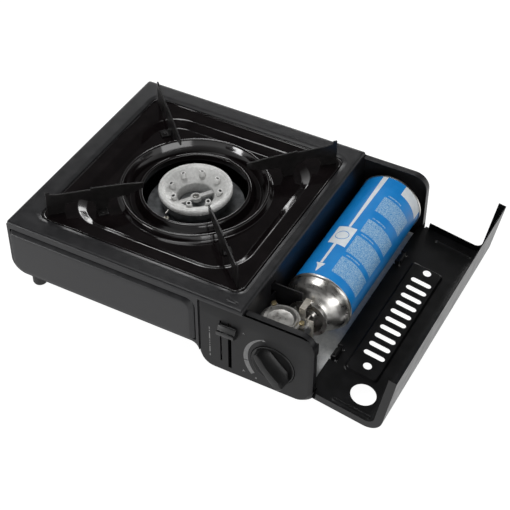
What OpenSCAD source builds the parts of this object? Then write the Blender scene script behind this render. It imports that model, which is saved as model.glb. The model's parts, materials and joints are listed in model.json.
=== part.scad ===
// Butane cassette stove: pressed steel case, enamel drip pan with four pan supports,
// cast burner, gas regulator, lever cartridge lock and a hinged bay lid, shown open.
// Millimetres. X runs along the front, Y to the back, Z up from the table.

/* [Case] */
// Top plate above the table
deck_z = 91; // [90:0.5:96]
// Length of the top plate, from the left side to the cartridge bay
deck_len = 262.4; // [256:0.2:264]
// Overlap of the deep section under the top plate
step_in = 47.6; // [42:0.2:54]
// Gap between the bay's inner wall and the cartridge's seams
bay_gap_left = 2.3; // [1.8:0.1:3]
// Gap between the cartridge's seams and the right side of the case
bay_gap_right = 3.3; // [3:0.1:5]
// Underside of the shallow section above the table
shallow_z = 26.3; // [22:0.1:28]
// Underside of the deep section above the table
deep_z = 2.8; // [2:0.1:4]
// Top of the two end walls of the cartridge bay
bay_top_z = 86.6; // [84:0.2:88]
// Radius of the case's lower corners and the bay's upper corner
case_r = 16; // [8:1:18]
// Radius inside the step under the case
step_r = 9; // [4:1:14]
// Thickness of the steel sheet
sheet_t = 0.8; // [0.6:0.1:1]
// Depth of the rim round the front panel
rim_depth = 1.8; // [1:0.1:2]
// Width of the rim along the front panel's top edge
rim_top = 9; // [6:0.5:12]
// Width of the rim down the front panel's sides
rim_side = 3; // [2:0.5:5]
// Top of the low wall under the lid
low_wall_z = 14.3; // [12:0.1:15]

/* [Recess and drip pan] */
// Left edge of the recess
recess_x = 23; // [20:0.5:26]
// Front edge of the recess
recess_y = 21.5; // [18:0.5:26]
// Top plate left of the bay, to the right of the recess
recess_right = 13; // [11:0.2:18]
// Top plate behind the recess
recess_back = 22; // [18:0.5:26]
// Corner radius of the recess
recess_r = 9; // [4:1:14]
// Depth of the ledge that the pan's lip lies on
ledge_drop = 4.6; // [4:0.1:5]
// Width of the ledge
ledge_w = 5; // [3:0.5:7]
// Clearance round the drip pan
pan_gap = 0.8; // [0.5:0.1:1.2]
// Thickness of the enamelled pan
pan_t = 1; // [0.8:0.1:1.2]
// Width of the pan's lip
lip_w = 15.5; // [12:0.5:18]
// Depth of the pan's floor under the lip
pan_depth = 6.5; // [5:0.5:8]
// Corner radius of the pan's floor
floor_r = 40; // [30:1:44]
// Radius of the bead ring round the well
bead_r = 74.5; // [72:0.5:76]
// Height of the bead ring above the pan's floor
bead_h = 7; // [5:0.5:8]
// Radius of the collar round the burner
collar_r = 55; // [52:0.5:58]
// Width of the trough's flat bottom
trough_w = 8; // [6:0.5:10]
// Depth of the trough under the pan's floor
trough_drop = 7; // [4:0.5:9]

/* [Pan supports] */
// Thickness of a pan support
fin_t = 1.6; // [1.2:0.1:2]
// Radius of a pan support's inner end
fin_inner_r = 53; // [48:1:56]
// Top of a pan support's inner end above the top plate
fin_inner_h = 15; // [12:0.5:18]
// Top of a pan support's outer end above the top plate
fin_outer_h = 22; // [20:0.5:26]
// Gap from the recess corner to a pan support
fin_corner_gap = 10; // [8:0.5:14]
// Radius of the inner leg's middle
leg_r = 96.5; // [92:0.5:102]
// Width of the inner leg
leg_w = 10; // [8:0.5:12]
// Width of the outer leg
outer_leg_w = 16.5; // [12:0.5:20]

/* [Burner] */
// Burner axis to the left of the recess's middle
burner_left = 2.7; // [0:0.1:4]
// Burner axis behind the recess's middle
burner_behind = 5; // [0:0.5:7]
// Top of the burner cap below the top plate
cap_drop = 4.8; // [4:0.1:7]
// Radius of the burner cap
cap_r = 37.7; // [35:0.1:40]
// Height of the burner cap
cap_h = 8; // [7:0.5:9]
// Radius of the cap's central opening
cap_bore_r = 18.7; // [17:0.1:19]
// Drop from the cap's rim to its central cup
cap_dish = 10.7; // [8:0.1:11]
// Number of ports round the cap
port_count = 8; // [6:1:12]
// Radius of the ring of ports
port_ring_r = 25.5; // [24:0.1:26]
// Radius of one port
port_r = 1.3; // [1:0.1:1.6]
// Radius of the spout round a port
spout_r = 2.6; // [2.4:0.1:3]
// Height of the burner body
body_h = 30; // [26:1:33]
// Outer radius of the mixing tube
tube_r = 9; // [8:0.5:9.5]
// Height of the mixing tube's axis above the table
tube_z = 50; // [49:0.5:51]
// Radius of the gas pipe
pipe_r = 3; // [2.5:0.1:3.4]

/* [Cartridge] */
// Cartridge axis above the table
cart_z = 46.6; // [46:0.1:49]
// Radius of the cartridge's body
cart_r = 33; // [32:0.1:33]
// Radius of the seams at both ends
seam_r = 34; // [33.2:0.1:34]
// Length from the back seam to the front seam
cart_len = 166; // [160:0.5:168]
// Gap from the cartridge to the bay's back wall
cart_back_gap = 13; // [9:0.5:16]
// Front face of the cartridge's collar from the front of the case
valve_end_y = 60.5; // [60:0.5:66]
// Length from the front seam to the collar's face
cart_nose = 25; // [23:0.5:27]
// Radius of the collar flange
flange_r = 20.6; // [20:0.1:21.2]
// Radius of the neck behind the collar flange
neck_r = 17.5; // [17:0.1:18]
// Wall of the cartridge
can_t = 0.6; // [0.4:0.1:0.8]
// Distance that the cartridge moves when it is locked
lock_travel = 4; // [3:0.5:4]

/* [Controls] */
// Knob axis to the left of the cartridge's
knob_in = 4.6; // [4:0.1:8]
// Knob axis above the table
knob_z = 38; // [37.5:0.5:39]
// Radius of the knob
knob_r = 22.4; // [20:0.1:23]
// Depth of the hollow in the knob's face
knob_dish = 3.4; // [2:0.1:3.6]
// Height of the knob's grip bar above the fascia
knob_bar = 13; // [9:0.5:16]
// Width of the grip bar along its top
bar_w = 8; // [6:0.5:9]
// Angle of the grip bar below the horizontal
bar_angle = 48; // [0:1:90]
// Radius of the knob's shaft
shaft_r = 4; // [3.5:0.1:4.2]
// Running clearance round the shaft
shaft_gap = 0.08; // [0.04:0.01:0.1]
// Lever axis to the left of the top plate's right edge
lever_in = 19.1; // [18.4:0.1:20]
// Middle of the lever's grip above the table
lever_z = 60; // [58:0.5:61]
// Width of the lever's grip
grip_w = 18.4; // [18:0.1:19]
// Height of the lever's grip
grip_h = 13; // [12:0.5:15]
// Reach of the grip from the fascia
grip_reach = 8; // [7:0.5:10]
// Travel of the lever
lever_travel = 34; // [30:1:34]
// Distance between the two slots for the lever
slot_pitch = 9.3; // [9:0.1:9.4]
// Width of a slot for the lever
slot_w = 1.8; // [1.6:0.1:2.2]
// Width of the right slot
wide_slot_w = 3.6; // [3:0.1:3.8]
// Thickness of the control fascia
fascia_t = 2.4; // [2:0.1:2.4]
// Height of the bevel along the fascia's top
bevel_h = 11; // [8:0.5:13]
// Width of the bevel down the fascia's side
bevel_side = 4; // [3:0.5:5]

/* [Lid] */
// Hinge axis, in from the case's right side
hinge_in = 3; // [2.8:0.1:3.2]
// Hinge axis above the table
hinge_z = 20; // [19.5:0.1:21]
// Angle that the lid stands open
lid_open = 99.8; // [95:0.1:100]
// Top of the closed lid above the top plate
lid_over = 1.2; // [1.2:0.1:1.6]
// Overlap of the closed lid on the top plate
lid_lap = 1.4; // [1:0.1:3]
// Outer corner radius of the lid
lid_r = 16; // [12:1:18]
// Width of the lid's end flanges
flange_w = 8; // [5:0.5:9]
// Number of vent slots
vent_count = 10; // [6:1:11]
// Pitch of the vent slots
vent_pitch = 12.45; // [11:0.05:13]
// Width of a vent slot
vent_w = 6; // [4:0.5:7]
// Length of a vent slot
vent_len = 22; // [16:0.5:24]
// Radius of the round hole at the lid's front end
lid_hole_r = 12.5; // [10:0.5:13]
// Distance of a hinge from the lid's end
hinge_inset = 58; // [50:1:66]
// Radius of the hinge pin
pin_r = 1.5; // [1.3:0.1:1.6]
// Running clearance round the hinge pin
pin_gap = 0.08; // [0.05:0.01:0.1]

/* [Hidden] */
$fn = 48;

big = 500;
clear = 0.4;          // between pieces that move past each other
seat = 0.3;           // under pieces that rest on another body

// the bay and the depth of the case follow the cartridge
collar_at = cart_len + cart_nose;
collar_y = valve_end_y;
cart_back = collar_y + collar_at;
case_depth = cart_back + cart_back_gap;
cart_x = deck_len + bay_gap_left + seam_r;
case_len = cart_x + seam_r + bay_gap_right;
step_x = deck_len - step_in;
knob_x = cart_x - knob_in;
lever_x = deck_len - lever_in;
dish_x = cart_x - 14.5;
valve_tip = 1.8;

// the recess fills the top plate, and the burner stands near its middle
recess_w = deck_len - recess_right - recess_x;
recess_d = case_depth - recess_back - recess_y;
burner_x = recess_x + recess_w / 2 - burner_left;
burner_y = recess_y + recess_d / 2 + burner_behind;

// heights and front-to-back planes of the case
rim_y = 0.6;
panel_y = rim_y + rim_depth;
panel_back = panel_y + 1;
back_in = case_depth - 1;
wrap_y = panel_back;
deck_under = deck_z - sheet_t;
shallow_floor = shallow_z + sheet_t;
deep_floor = deep_z + sheet_t;
wall_x = case_len - sheet_t - 0.5;     // right edge of the bay's end walls
divider_x = deck_len - sheet_t;
web_y = panel_back + 6.4;
web_back = web_y + sheet_t;
strip_y = panel_back + 1.2;

// drip pan
ledge_z = deck_z - ledge_drop;
lip_z = ledge_z + sheet_t + seat;
lip_top = lip_z + pan_t;
floor_z = lip_z - pan_depth;
floor_top = floor_z + pan_t;
hole_r = collar_r - 2;

// burner and gas line
cap_top = deck_z - cap_drop;
cap_z = cap_top - cap_h;
body_z = cap_z - body_h;
body_r = cap_r - 2.2;
outlet_x = dish_x - 8.2;
outlet_y = web_back + 18;
line_angle = atan2(burner_y - outlet_y, burner_x - outlet_x);
line_len = norm([burner_x - outlet_x, burner_y - outlet_y]);
mouth_at = 45;
jet_len = 12;
plug_r = 44;
plug_angle = 258;

// regulator
reg_x0 = outlet_x;
reg_x1 = cart_x + 10;
reg_y1 = collar_y - 20;
reg_z0 = knob_z - 8;
reg_z1 = knob_z + 20;
dish_y = web_back + 22;
dish_r = 19.2;
flange_t = 1.2;
dish_seat = reg_z1 + 1.4;
ear_z = dish_seat + 1.6;       // clamped from below up: housing, diaphragm, cover
skin_z = ear_z + flange_t;
cover_z = skin_z + 0.6;
screw_angles = [13, 133, 225];
nozzle_y = collar_y - 4;
guide_y = nozzle_y - 7;

// controls
fascia_x0 = step_x + 0.8;
fascia_top = bay_top_z - 1.3;
slot_bottom = lever_z - lever_travel - 15.3;
slot_top = lever_z + 10.5;
slot_mid = lever_x + 0.8;
slot_xs = [slot_mid - slot_pitch / 2, slot_mid + slot_pitch / 2];
slot_ws = [slot_w, wide_slot_w];
slot_zs = [slot_bottom + 5.5, slot_bottom];
grip_mid = lever_x + 4.5;
cam_x = lever_x + 5.8;
cam_t = 1.2;
cam_pin_y = web_back + 5.4;
cam_pin_z = lever_z - 16;
cam_pin_r = 1.5;
bar_x = lever_x + 9.1;
bar_z = tube_z + 10;
piezo_x = knob_x + 21.1;
piezo_z = knob_z - 3;
piezo_back = web_back + 31;
pusher_y = collar_y + 1.5;

// lid
hinge_x = case_len - hinge_in;
lid_top = deck_z + lid_over;
lid_tip_x = deck_len - lid_lap;
lid_y0 = -1.2;
lid_y1 = case_depth + 1.2;
vent_z = hinge_z + 31;
knuckle_r = 2.8;
knuckle_len = 12;
ear_t = 2;
hinge_clear = 2.8;    // the lid's lower corners start this far above the hinge axis
hinge_ys = [hinge_inset, case_depth - hinge_inset];

// origin: under the middle of the whole object's box, with the lid open
lid_reach = hinge_x + (lid_tip_x - hinge_x) * cos(lid_open) + (lid_top - hinge_z) * sin(lid_open);
frame_x = lid_reach / 2;
frame_y = (lid_y1 - knob_bar) / 2;

module home() { translate([-frame_x, -frame_y, 0]) children(); }

// a flat X-Z shape, carried along Y
module along_y(y0, y1) {
  translate([0, y1, 0]) rotate([90, 0, 0]) linear_extrude(y1 - y0) children();
}

// a flat Y-Z shape, carried along X
module along_x(x0, x1) {
  translate([x0, 0, 0]) rotate([90, 0, 90]) linear_extrude(x1 - x0) children();
}

module block(from, to) { translate(from) cube(to - from); }

module rod_y(x, z, y0, y1, r) {
  translate([x, y1, z]) rotate([90, 0, 0]) cylinder(h = y1 - y0, r = r);
}

module rod_x(y, z, x0, x1, r) {
  translate([x0, y, z]) rotate([0, 90, 0]) cylinder(h = x1 - x0, r = r);
}

module rod_z(x, y, z0, z1, r) { translate([x, y, z0]) cylinder(h = z1 - z0, r = r); }

// rectangle with its own radius at each corner, from the lower left one round
module round_box(a, b, r) {
  difference() {
    translate(a) square(b - a);
    corner_cut([a.x, a.y], [1, 1], r[0]);
    corner_cut([b.x, a.y], [-1, 1], r[1]);
    corner_cut([b.x, b.y], [-1, -1], r[2]);
    corner_cut([a.x, b.y], [1, -1], r[3]);
  }
}

module corner_cut(at, dir, r) {
  if (r > 0)
    difference() {
      translate([at.x - (dir.x < 0 ? r : 1), at.y - (dir.y < 0 ? r : 1)]) square(r + 1);
      translate([at.x + dir.x * r, at.y + dir.y * r]) circle(r);
    }
}

// the case seen from the front, drawn in by i, with its right side at x_right
module case_outline(i, x_right) {
  round_box([i, shallow_z + i], [deck_len - i, deck_z - i], [case_r - i, 0, 0, 0]);
  round_box([step_x + i, deep_z + i], [x_right - i, bay_top_z - i],
            [case_r - i, case_r - i, case_r - i, 0]);
  translate([step_x - step_r, shallow_z - step_r])
    difference() {
      square(step_r + i + 1);
      circle(step_r + i);
    }
}

module end_wall_outline() {
  difference() {
    case_outline(0, wall_x);
    translate([-1, deck_under]) square(big);
  }
}

// ---- case ----

module lower_case() {
  color("dimgray") home() difference() {
    along_y(wrap_y, back_in) difference() {
      case_outline(0, case_len);
      case_outline(sheet_t, case_len);
      translate([-1, deck_under]) square(big);
      translate([case_r, shallow_floor + 1]) square([deck_len, big]);
      translate([deck_len - 9, low_wall_z]) square(big);
    }
    for (at = case_screw_places) rod_z(at.x, at.y, 0, shallow_floor + 1, case_screw_r);
  }
}

module front_panel() {
  color("dimgray") home() difference() {
    along_y(rim_y, panel_back) end_wall_outline();
    along_y(0, panel_y)
      round_box([rim_side, shallow_z + rim_side], [step_x - rim_side, deck_z - rim_top],
                [case_r - rim_side, 1, 10, 2]);
    block([step_x, 0, 0], [case_len, panel_y, fascia_top + 0.3]);
    block([deck_len, 0, fascia_top - 2], [case_len, panel_back + 1, deck_z]);
    block([lever_x - 9, 0, slot_bottom - 3], [lever_x + 9, panel_back + 1, slot_top + 3]);
    rod_y(knob_x, knob_z, 0, panel_back + 1, knob_r + 1);
  }
}

module back_panel() {
  color("dimgray") home() {
    along_y(back_in, case_depth) end_wall_outline();
    along_y(back_in - 6, back_in) bay_rim(0);
  }
}

// the folded edge of a bay end wall, top and right, drawn in by i
module bay_rim(i) {
  difference() {
    case_outline(i, wall_x);
    case_outline(i + sheet_t, wall_x);
    translate([-1, -1]) square([deck_len + 1.4, big]);
    translate([-1, -1]) square([case_len + 2, hinge_z + 6]);
  }
}

module top_plate() {
  color("dimgray") home() {
    difference() {
      block([0, 0, deck_under], [deck_len, case_depth, deck_z]);
      translate([0, 0, deck_under - 1]) linear_extrude(sheet_t + 2) recess(0);
    }
    translate([0, 0, ledge_z]) linear_extrude(ledge_drop) difference() {
      recess(-sheet_t);
      recess(0);
    }
    translate([0, 0, ledge_z]) linear_extrude(sheet_t) difference() {
      recess(-sheet_t);
      recess(ledge_w);
    }
  }
}

// the recess seen from above, drawn in by i
module recess(i) {
  round_box([recess_x + i, recess_y + i],
            [recess_x + recess_w - i, recess_y + recess_d - i],
            [for (n = [0:3]) max(recess_r - i, 1)]);
}

module bay_divider() {
  color("#2c2c30") home() difference() {
    block([divider_x, wrap_y, deep_floor], [deck_len, back_in, deck_under]);
    line_hole(pipe_r + 2.5);
    block([divider_x - 1, pusher_y - lock_travel - 1.5, lever_z + 4],
          [deck_len + 1, pusher_y + 3, lever_z + 18]);
    rod_x(lead_y, 26, divider_x - 1, deck_len + 1, 2.6);
  }
}

// a hole along the gas line, from the regulator to the burner
module line_hole(r) {
  translate([outlet_x, outlet_y, tube_z]) rotate([0, 90, line_angle])
    translate([0, 0, 5]) cylinder(h = 40, r = r);
}

module bay_front_frame() {
  color("#3a3a3c") home() {
    along_y(strip_y, web_back) bay_rim(sheet_t + seat);
    along_y(panel_back, web_y + 0.1) frame_posts(3);
    difference() {
      along_y(web_y, web_back) intersection() {
        case_outline(sheet_t + seat, wall_x + seat);
        translate([deck_len + seat, 0]) square(big);
      }
      rod_y(knob_x, knob_z, web_y - 1, web_back + 1, shaft_r + 3);
      rod_y(piezo_x, piezo_z, web_y - 1, web_back + 1, plunger_r + clear);
      for (z = reg_screw_z) rod_y(reg_screw_x, z, web_y - 1, web_back + 1, reg_screw_r);
    }
  }
}

module frame_posts(r) {
  for (at = [[deck_len + 8, bay_top_z - 12], [wall_x - 10, deep_z + 18]])
    translate(at) circle(r);
}

plate_x0 = deck_len + 1.6;
plate_x1 = wall_x - 5.7;
plate_top = cart_z - seam_r - clear;

module heat_plate() {
  color("#b9bcbe") home()
    along_y(web_back + 3, back_in - 8) intersection() {
      case_outline(sheet_t, case_len);
      difference() {
        translate([plate_x0, 0]) square([plate_x1 - plate_x0, plate_top]);
        translate([plate_x0 + sheet_t, -1])
          square([plate_x1 - plate_x0 - 2 * sheet_t, plate_top - sheet_t + 1]);
      }
    }
}

foot_r = 7.5;
foot_inset = 19.5;

module tall_feet() {
  color("#18181a") home()
    for (y = [foot_inset, case_depth - foot_inset])
      rod_z(case_r, y, 0, shallow_z, foot_r);
}

module short_feet() {
  color("#18181a") home()
    for (x = [step_x + case_r + 5, case_len - case_r - 8])
      for (y = [foot_inset, case_depth - foot_inset])
        rod_z(x, y, 0, deep_z, foot_r);
}

case_screw_r = 1.5;
screw_inset = 40;
case_screw_places = [for (x = [screw_inset, step_x - step_r - 16])
                     for (y = [screw_inset, case_depth - screw_inset]) [x, y]];

module case_screws() {
  color("silver") home()
    for (at = case_screw_places) {
      rod_z(at.x, at.y, shallow_z - 1.6, shallow_z, 3);
      rod_z(at.x, at.y, shallow_z - 0.5, shallow_floor + 4, case_screw_r);
    }
}

// ---- controls on the front ----

module control_fascia() {
  color("#3f4042") home() difference() {
    hull() {
      $fn = 32;
      along_y(fascia_t - 0.2, fascia_t)
        round_box([fascia_x0, deep_z + 0.4], [wall_x, fascia_top],
                  [case_r - 0.8, case_r - 0.8, case_r - 1.3, 3]);
      along_y(0, 0.2)
        round_box([fascia_x0 + 2, deep_z + 1.4], [wall_x - bevel_side, fascia_top - bevel_h],
                  [case_r - 2, case_r - 3, case_r - 6, 3]);
    }
    for (i = [0, 1])
      block([slot_xs[i] - slot_ws[i] / 2, -1, slot_zs[i]],
            [slot_xs[i] + slot_ws[i] / 2, fascia_t + 1, slot_top]);
    rod_y(knob_x, knob_z, -1, fascia_t + 1, knob_r + 0.6);
  }
}

// the knob turns in the fascia's hole, its face hollow on both sides of the grip bar
knob_back = panel_back + 0.6;
knob_lip = 1;
shaft_front = 4;
knob_profile = [[0, -knob_back], [knob_r, -knob_back], [knob_r, knob_lip],
                [knob_r - 1.8, knob_lip], [knob_r - 6, 0.6 - knob_dish], [0, -knob_dish]];

module at_knob() { home() translate([knob_x, 0, knob_z]) rotate([90, 0, 0]) children(); }

module control_knob() {
  color("#161617") at_knob() difference() {
    union() {
      rotate_extrude() polygon(knob_profile);
      intersection() {
        rotate([0, 0, -bar_angle]) rotate([90, 0, 90]) translate([0, 0, -knob_r])
          linear_extrude(2 * knob_r)
            polygon([[-bar_w / 2 - 2, 1 - knob_back], [bar_w / 2 + 2, 1 - knob_back],
                     [bar_w / 2, knob_bar], [-bar_w / 2, knob_bar]]);
        translate([0, 0, -knob_back])
          cylinder(h = knob_bar + knob_back, r1 = knob_r - 0.4, r2 = knob_r - 1.4);
      }
    }
    translate([0, 0, -knob_back - 1]) cylinder(h = knob_back + 1 + shaft_front, r = shaft_r);
  }
}

module knob_shaft() {
  color("silver") home() difference() {
    rod_y(knob_x, knob_z, -shaft_front, web_back + 12, shaft_r);
    rod_y(knob_x, knob_z, panel_back + 1.4, panel_back + 2.8, shaft_r - 1);
  }
}

module knob_cam() {
  color("ivory") home() difference() {
    rod_y(knob_x, knob_z, panel_back + 1.6, panel_back + 2.8, knob_r + 3);
    rod_y(knob_x, knob_z, panel_back + 1, panel_back + 3.4, shaft_r);
  }
}

plunger_r = 2.5;
plunger_travel = 3;

module piezo_plunger() {
  color("ivory") home()
    rod_y(piezo_x, piezo_z, panel_back + 3.1, web_back + 8, plunger_r);
}

module piezo_igniter() {
  color("#222224") home() difference() {
    block([piezo_x - 5.4, web_back, piezo_z - 7], [piezo_x + 6, piezo_back, piezo_z + 7]);
    rod_y(piezo_x, piezo_z, web_back - 1, web_back + 8.5 + plunger_travel, plunger_r + shaft_gap);
  }
}

// a flat back with a thumb ledge, drawn from the side
module lever_grip() {
  top = lever_z + 8;
  low = top - grip_h;
  color("#141415") home()
    along_x(grip_mid - grip_w / 2, grip_mid + grip_w / 2)
      polygon([[-clear, low], [-2, low], [-grip_reach + 0.6, low + 3.6],
               [-grip_reach, low + 4.4], [-grip_reach, low + 7.6], [-grip_reach + 0.8, low + 8.2],
               [-grip_reach + 2.4, low + 7.4], [-4.8, top - 3.6], [-3, top - 0.4],
               [-2, top], [-clear, top]]);
}

slide_y = panel_back + clear;

module lever_slider() {
  color("silver") home() {
    block([lever_x - 7, slide_y, lever_z - 13], [lever_x + 7, slide_y + 1.2, lever_z + 11]);
    for (i = [0, 1])
      block([slot_xs[i] - slot_ws[i] / 2 + 0.4, -clear, lever_z - 4],
            [slot_xs[i] + slot_ws[i] / 2 - 0.4, slide_y + 1, lever_z + 7]);
    along_x(cam_x, cam_x + cam_t) difference() {
      translate([slide_y + 0.5, cam_pin_z - 4])
        square([cam_pin_y - slide_y + 5, lever_travel + 8]);
      cam_slot(cam_pin_r + 0.35);
    }
  }
}

// the sloping slot that pulls the pusher forwards as the lever goes down
module cam_slot(r) {
  low = [cam_pin_y, cam_pin_z];
  high = [cam_pin_y - lock_travel, cam_pin_z + lever_travel];
  run = norm(high - low);
  translate(low) circle(r);
  translate(high) circle(r);
  translate(low) rotate(atan2(high.y - low.y, high.x - low.x)) translate([0, -r]) square([run, 2 * r]);
}

module slider_guide() {
  color("#8d8f91") home() {
    block([lever_x - 10.4, panel_back, 12], [lever_x - 7.4, slide_y + 2.4, lever_z + 22]);
    block([lever_x - 10.4, slide_y + 1.6, 12], [lever_x - 5.4, slide_y + 2.4, lever_z + 22]);
    block([lever_x + 7.4, panel_back, 12], [lever_x + 8.8, slide_y + 2.4, lever_z + 22]);
  }
}

module cartridge_pusher() {
  color("silver") home() {
    rod_x(cam_pin_y, cam_pin_z, cam_x - 0.4, bar_x + 0.2, cam_pin_r);
    along_x(bar_x, bar_x + 1.2) {
      translate([cam_pin_y - 4, cam_pin_z - 4]) square([8, bar_z + 8 - cam_pin_z + 4]);
      translate([cam_pin_y - 4, bar_z]) square([pusher_y + 1.2 - cam_pin_y + 4, 8]);
      translate([pusher_y - 12, bar_z]) square([13.2, lever_z + 16 - bar_z]);
    }
    along_y(pusher_y, pusher_y + 1.2) difference() {
      union() {
        translate([bar_x, lever_z + 6]) square([cart_x - 6 - bar_x, 10]);
        translate([deck_len + 2, cart_z + 4]) square([cart_x - 8 - deck_len, 22]);
      }
      translate([cart_x, cart_z]) circle(neck_r + 0.5);
    }
  }
}

module pusher_guide() {
  color("#8d8f91") home()
    difference() {
      block([bar_x - 1.6, web_back + 12, bar_z - 3.6], [divider_x, web_back + 28, bar_z + 11.6]);
      block([bar_x - clear, web_back + 11, bar_z - clear],
            [bar_x + 1.2 + clear, web_back + 29, bar_z + 8 + clear]);
    }
}

// ---- drip pan and its supports ----

module pan_outline(i) { recess(pan_gap + i); }

module floor_outline(i) {
  round_box([recess_x + pan_gap + lip_w + i, recess_y + pan_gap + lip_w + i],
            [recess_x + recess_w - pan_gap - lip_w - i, recess_y + recess_d - pan_gap - lip_w - i],
            [for (n = [0:3]) floor_r - i]);
}

module drip_pan() {
  color("#1c1517") home() {
    translate([0, 0, lip_z]) linear_extrude(pan_t) difference() {
      pan_outline(0);
      floor_outline(pan_t);
    }
    translate([0, 0, lip_z]) linear_extrude(pan_t + 1.4) difference() {
      pan_outline(0);
      pan_outline(pan_t);
    }
    translate([0, 0, floor_z]) linear_extrude(pan_depth + pan_t) difference() {
      floor_outline(0);
      floor_outline(pan_t);
    }
    translate([0, 0, floor_z]) linear_extrude(pan_t) difference() {
      floor_outline(0);
      translate([burner_x, burner_y]) circle(bead_r + 3);
    }
    translate([burner_x, burner_y, floor_z]) rotate_extrude() polygon(well_profile);
  }
}

// the well's section: up over the bead, down to the trough, up over the collar
well_out = bead_r + 5;
trough_out = (bead_r + collar_r) / 2 + trough_w / 2;
trough_in = (bead_r + collar_r) / 2 - trough_w / 2;
collar_h = bead_h - 3;
well_profile = [[well_out, 0], [well_out, pan_t], [bead_r + 2.4, pan_t + 1], [bead_r + 1.2, bead_h],
                [bead_r - 1.2, bead_h], [bead_r - 3, pan_t + 1.5], [trough_out, pan_t - trough_drop],
                [trough_in, pan_t - trough_drop], [collar_r + 1.6, collar_h], [hole_r, collar_h],
                [hole_r, -4], [hole_r + 1, -4], [hole_r + 1, collar_h - 1],
                [collar_r + 0.8, collar_h - 1], [trough_in - 0.8, -trough_drop],
                [trough_out + 0.8, -trough_drop], [bead_r - 2, 1], [bead_r - 0.6, bead_h - 1],
                [bead_r + 0.6, bead_h - 1], [bead_r + 1.6, 0]];

// a pan support stands on a line from the burner to a corner of the recess
module fin_at(corner) {
  span = corner - [burner_x, burner_y];
  translate([burner_x, burner_y, 0]) rotate([0, 0, atan2(span.y, span.x)]) children();
}

function fin_out(corner) = norm(corner - [burner_x, burner_y]) - fin_corner_gap;

module fin(corner) {
  out = fin_out(corner);
  inner_z = deck_z + fin_inner_h;
  outer_z = deck_z + fin_outer_h;
  under_z = deck_z + 2.5;
  fin_at(corner) {
    translate([0, fin_t / 2, 0]) rotate([90, 0, 0]) linear_extrude(fin_t)
      polygon([[fin_inner_r, inner_z - 7], [fin_inner_r, inner_z], [fin_inner_r + 3, inner_z],
               [fin_inner_r + 23, inner_z + 3], [leg_r + 9, inner_z + 5.6],
               [leg_r + 9, inner_z + 4], [out - 12, outer_z - 1], [out - 4, outer_z + 1],
               [out - 4, outer_z + 4], [out, outer_z + 4], [out, lip_top],
               [out - outer_leg_w, lip_top], [out - outer_leg_w - 2, under_z + 5],
               [leg_r + leg_w / 2 + 14, under_z + 7], [leg_r + leg_w / 2 + 2, under_z],
               [leg_r + leg_w / 2, floor_top], [leg_r - leg_w / 2, floor_top],
               [leg_r - leg_w / 2 - 4, under_z], [fin_inner_r + 16, under_z + 1]]);
    // foot bent over under the inner leg
    block([leg_r - leg_w / 2, 0, floor_top], [leg_r + leg_w / 2, foot_out, floor_top + fin_t]);
  }
}

foot_out = 10;
corner_left = [recess_x, recess_y];
corner_back = [recess_x, recess_y + recess_d];
corner_right = [recess_x + recess_w, recess_y + recess_d];
corner_front = [recess_x + recess_w, recess_y];

module pan_support_left() { color("#222022") home() fin(corner_left); }
module pan_support_back() { color("#222022") home() fin(corner_back); }
module pan_support_right() { color("#222022") home() fin(corner_right); }
module pan_support_front() { color("#222022") home() fin(corner_front); }

module support_rivets() {
  color("#3a3836") home()
    for (corner = [corner_left, corner_back, corner_right, corner_front])
      fin_at(corner) rod_z(leg_r, foot_out - 4, floor_top + fin_t, floor_top + fin_t + 1.2, 2.4);
}

// ---- burner ----

module at_burner() { home() translate([burner_x, burner_y, 0]) children(); }

module burner_bracket() {
  color("#9a9c9e") at_burner() {
    for (x = [-22, 20.5]) block([x, -12, shallow_floor], [x + 1.5, 12, body_z]);
    block([-22, -12, body_z - 1.5], [22, 12, body_z]);
  }
}

shield_r = 49.5;
shield_at = 15.4;      // the round heat shield above the body's foot
cup_drop = 16.8;       // the cap's closed cup below its seat

module burner_body() {
  color("#55565a") at_burner() difference() {
    union() {
      translate([0, 0, body_z]) rotate_extrude()
        polygon([[0, 0], [body_r - 11.5, 0], [body_r - 5.5, 5], [body_r - 2.5, body_h - 8],
                 [body_r, body_h - 6], [body_r, body_h], [0, body_h]]);
      rod_z(0, 0, body_z + shield_at, body_z + shield_at + 1.2, shield_r);
      rotate([0, 0, plug_angle])
        block([body_r - 7.5, -4, body_z + 11], [plug_r + 5, 4, body_z + 14]);
    }
    translate([0, 0, body_z + 4]) cylinder(h = body_h, r = body_r - 8.5);
    mixing_line() cylinder(h = 60, r = tube_r);
    rotate([0, 0, plug_angle]) {
      rod_z(plug_r, 0, body_z + 10, body_z + 15, 2.6);
      rod_z(plug_r, 0, body_z + 14.5, body_z + shield_at + 2, 2.9);
    }
  }
}

// the gas line, seen from the burner
module mixing_line() {
  translate([0, 0, tube_z]) rotate([0, 90, line_angle + 180]) children();
}

// the cap's section: rim, slope down to the cup, cup, and the seat on the body
cup_top = cap_h - cap_dish;
cap_profile = [[0, -cup_drop], [cap_bore_r + 1.6, -cup_drop], [cap_bore_r + 1.6, -3.4],
               [body_r - 9.3, 0], [cap_r - 1.2, 0], [cap_r, 1.5], [cap_r, cap_h - 1.5],
               [cap_r - 1, cap_h], [cap_r - 4.7, cap_h], [cap_r - 5.3, cap_h - 0.8],
               [cap_bore_r, cup_top], [cap_bore_r, 1.6 - cup_drop], [0, 1.6 - cup_drop]];

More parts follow.
